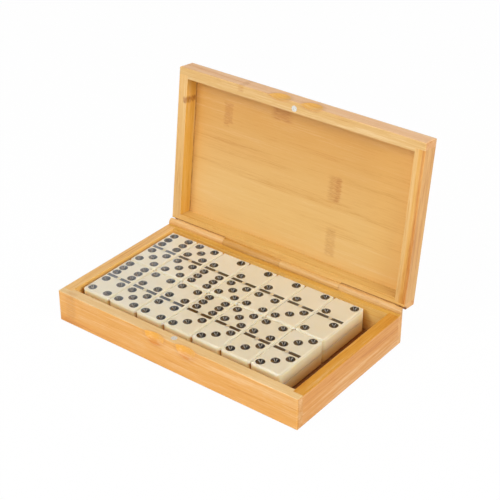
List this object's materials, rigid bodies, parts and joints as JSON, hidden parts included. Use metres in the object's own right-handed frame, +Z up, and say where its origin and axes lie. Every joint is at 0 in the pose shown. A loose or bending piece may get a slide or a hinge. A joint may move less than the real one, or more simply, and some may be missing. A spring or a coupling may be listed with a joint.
{
  "type": "domino storage box",
  "caption": "Hinged bamboo box with a magnetic catch and finger scoops, filled with double-ended dominoes that lie in two layers.",
  "frame": {"origin": "centre of the underside of the base", "axes": "+X along the box to the right seen from the front, +Y from the front to the hinge, +Z up; the lid stands open"},
  "size_m": [0.21, 0.1536, 0.1499],
  "materials": {
    "bamboo_rail": "clear satin lacquer, long grain",
    "bamboo_rail_pale": "clear satin lacquer, long grain",
    "bamboo_panel": "clear satin lacquer, strips glued side by side",
    "bamboo_knuckle": "clear satin lacquer",
    "bamboo_knuckle_pale": "clear satin lacquer",
    "bamboo_knuckle_dark": "clear satin lacquer",
    "magnet": "nickel plated",
    "pin_steel": "bright drawn",
    "domino_resin": "polished cast resin, ivory"
  },
  "bodies": {
    "base": {"base_front_rail": "bamboo_rail", "base_back_rail": "bamboo_rail", "base_left_rail": "bamboo_rail", "base_right_rail": "bamboo_rail", "base_floor": "bamboo_panel", "base_magnet": "magnet", "left_base_knuckle": "bamboo_knuckle", "right_base_knuckle": "bamboo_knuckle_pale", "hinge_pin": "pin_steel"},
    "lid": {"lid_front_rail": "bamboo_rail_pale", "lid_back_rail": "bamboo_rail", "lid_left_rail": "bamboo_rail", "lid_right_rail": "bamboo_rail", "lid_panel": "bamboo_panel", "lid_magnet": "magnet", "left_lid_knuckle": "bamboo_knuckle_dark", "right_lid_knuckle": "bamboo_knuckle"},
    "domino_6_5": {"domino_6_5": "domino_resin"},
    "domino_5_5": {"domino_5_5": "domino_resin"},
    "domino_2_6": {"domino_2_6": "domino_resin"},
    "domino_2_5": {"domino_2_5": "domino_resin"},
    "domino_2_4": {"domino_2_4": "domino_resin"},
    "domino_2_3": {"domino_2_3": "domino_resin"},
    "domino_2_2": {"domino_2_2": "domino_resin"},
    "domino_6_4": {"domino_6_4": "domino_resin"},
    "domino_4_5": {"domino_4_5": "domino_resin"},
    "domino_4_4": {"domino_4_4": "domino_resin"},
    "domino_6_3": {"domino_6_3": "domino_resin"},
    "domino_5_3": {"domino_5_3": "domino_resin"},
    "domino_4_3": {"domino_4_3": "domino_resin"},
    "domino_3_3": {"domino_3_3": "domino_resin"},
    "domino_0_0": {"domino_0_0": "domino_resin"},
    "domino_1_0": {"domino_1_0": "domino_resin"},
    "domino_1_1": {"domino_1_1": "domino_resin"},
    "domino_2_0": {"domino_2_0": "domino_resin"},
    "domino_2_1": {"domino_2_1": "domino_resin"},
    "domino_3_0": {"domino_3_0": "domino_resin"},
    "domino_3_1": {"domino_3_1": "domino_resin"},
    "domino_4_0": {"domino_4_0": "domino_resin"},
    "domino_4_1": {"domino_4_1": "domino_resin"},
    "domino_5_0": {"domino_5_0": "domino_resin"},
    "domino_5_1": {"domino_5_1": "domino_resin"},
    "domino_6_0": {"domino_6_0": "domino_resin"},
    "domino_6_1": {"domino_6_1": "domino_resin"},
    "domino_6_6": {"domino_6_6": "domino_resin"}
  },
  "joints": [
    {"name": "lid_hinge", "type": "hinge", "parent": "base", "child": "lid", "pos_m": [0, 0.0629, 0.0254], "axis": [-1, 0, 0], "range_deg": [-96.5, 0]},
    {"name": "domino_6_5_lift", "type": "slide", "parent": "base", "child": "domino_6_5", "axis": [0, 0, 1], "range_m": [0, 0.03]},
    {"name": "domino_5_5_lift", "type": "slide", "parent": "base", "child": "domino_5_5", "axis": [0, 0, 1], "range_m": [0, 0.03]},
    {"name": "domino_2_6_lift", "type": "slide", "parent": "base", "child": "domino_2_6", "axis": [0, 0, 1], "range_m": [0, 0.03]},
    {"name": "domino_2_5_lift", "type": "slide", "parent": "base", "child": "domino_2_5", "axis": [0, 0, 1], "range_m": [0, 0.03]},
    {"name": "domino_2_4_lift", "type": "slide", "parent": "base", "child": "domino_2_4", "axis": [0, 0, 1], "range_m": [0, 0.03]},
    {"name": "domino_2_3_lift", "type": "slide", "parent": "base", "child": "domino_2_3", "axis": [0, 0, 1], "range_m": [0, 0.03]},
    {"name": "domino_2_2_lift", "type": "slide", "parent": "base", "child": "domino_2_2", "axis": [0, 0, 1], "range_m": [0, 0.03]},
    {"name": "domino_6_4_lift", "type": "slide", "parent": "base", "child": "domino_6_4", "axis": [0, 0, 1], "range_m": [0, 0.03]},
    {"name": "domino_4_5_lift", "type": "slide", "parent": "base", "child": "domino_4_5", "axis": [0, 0, 1], "range_m": [0, 0.03]},
    {"name": "domino_4_4_lift", "type": "slide", "parent": "base", "child": "domino_4_4", "axis": [0, 0, 1], "range_m": [0, 0.03]},
    {"name": "domino_6_3_lift", "type": "slide", "parent": "base", "child": "domino_6_3", "axis": [0, 0, 1], "range_m": [0, 0.03]},
    {"name": "domino_5_3_lift", "type": "slide", "parent": "base", "child": "domino_5_3", "axis": [0, 0, 1], "range_m": [0, 0.03]},
    {"name": "domino_4_3_lift", "type": "slide", "parent": "base", "child": "domino_4_3", "axis": [0, 0, 1], "range_m": [0, 0.03]},
    {"name": "domino_3_3_lift", "type": "slide", "parent": "base", "child": "domino_3_3", "axis": [0, 0, 1], "range_m": [0, 0.03]},
    {"name": "domino_0_0_lift", "type": "slide", "parent": "base", "child": "domino_0_0", "axis": [0, 0, 1], "range_m": [0, 0.03]},
    {"name": "domino_1_0_lift", "type": "slide", "parent": "base", "child": "domino_1_0", "axis": [0, 0, 1], "range_m": [0, 0.03]},
    {"name": "domino_1_1_lift", "type": "slide", "parent": "base", "child": "domino_1_1", "axis": [0, 0, 1], "range_m": [0, 0.03]},
    {"name": "domino_2_0_lift", "type": "slide", "parent": "base", "child": "domino_2_0", "axis": [0, 0, 1], "range_m": [0, 0.03]},
    {"name": "domino_2_1_lift", "type": "slide", "parent": "base", "child": "domino_2_1", "axis": [0, 0, 1], "range_m": [0, 0.03]},
    {"name": "domino_3_0_lift", "type": "slide", "parent": "base", "child": "domino_3_0", "axis": [0, 0, 1], "range_m": [0, 0.03]},
    {"name": "domino_3_1_lift", "type": "slide", "parent": "base", "child": "domino_3_1", "axis": [0, 0, 1], "range_m": [0, 0.03]},
    {"name": "domino_4_0_lift", "type": "slide", "parent": "base", "child": "domino_4_0", "axis": [0, 0, 1], "range_m": [0, 0.03]},
    {"name": "domino_4_1_lift", "type": "slide", "parent": "base", "child": "domino_4_1", "axis": [0, 0, 1], "range_m": [0, 0.03]},
    {"name": "domino_5_0_lift", "type": "slide", "parent": "base", "child": "domino_5_0", "axis": [0, 0, 1], "range_m": [0, 0.03]},
    {"name": "domino_5_1_lift", "type": "slide", "parent": "base", "child": "domino_5_1", "axis": [0, 0, 1], "range_m": [0, 0.03]},
    {"name": "domino_6_0_lift", "type": "slide", "parent": "base", "child": "domino_6_0", "axis": [0, 0, 1], "range_m": [0, 0.03]},
    {"name": "domino_6_1_lift", "type": "slide", "parent": "base", "child": "domino_6_1", "axis": [0, 0, 1], "range_m": [0, 0.03]},
    {"name": "domino_6_6_lift", "type": "slide", "parent": "base", "child": "domino_6_6", "axis": [0, 0, 1], "range_m": [0, 0.03]}
  ],
  "couplings": [
    {"joint": "domino_0_0_lift", "follows": "domino_6_5_lift", "ratio": 1},
    {"joint": "domino_1_0_lift", "follows": "domino_5_5_lift", "ratio": 1},
    {"joint": "domino_1_1_lift", "follows": "domino_2_6_lift", "ratio": 1},
    {"joint": "domino_2_0_lift", "follows": "domino_2_5_lift", "ratio": 1},
    {"joint": "domino_2_1_lift", "follows": "domino_2_4_lift", "ratio": 1},
    {"joint": "domino_3_0_lift", "follows": "domino_2_3_lift", "ratio": 1},
    {"joint": "domino_3_1_lift", "follows": "domino_2_2_lift", "ratio": 1},
    {"joint": "domino_4_0_lift", "follows": "domino_6_4_lift", "ratio": 1},
    {"joint": "domino_4_1_lift", "follows": "domino_4_5_lift", "ratio": 1},
    {"joint": "domino_5_0_lift", "follows": "domino_4_4_lift", "ratio": 1},
    {"joint": "domino_5_1_lift", "follows": "domino_6_3_lift", "ratio": 1},
    {"joint": "domino_6_0_lift", "follows": "domino_5_3_lift", "ratio": 1},
    {"joint": "domino_6_1_lift", "follows": "domino_4_3_lift", "ratio": 1},
    {"joint": "domino_6_6_lift", "follows": "domino_3_3_lift", "ratio": 1}
  ]
}
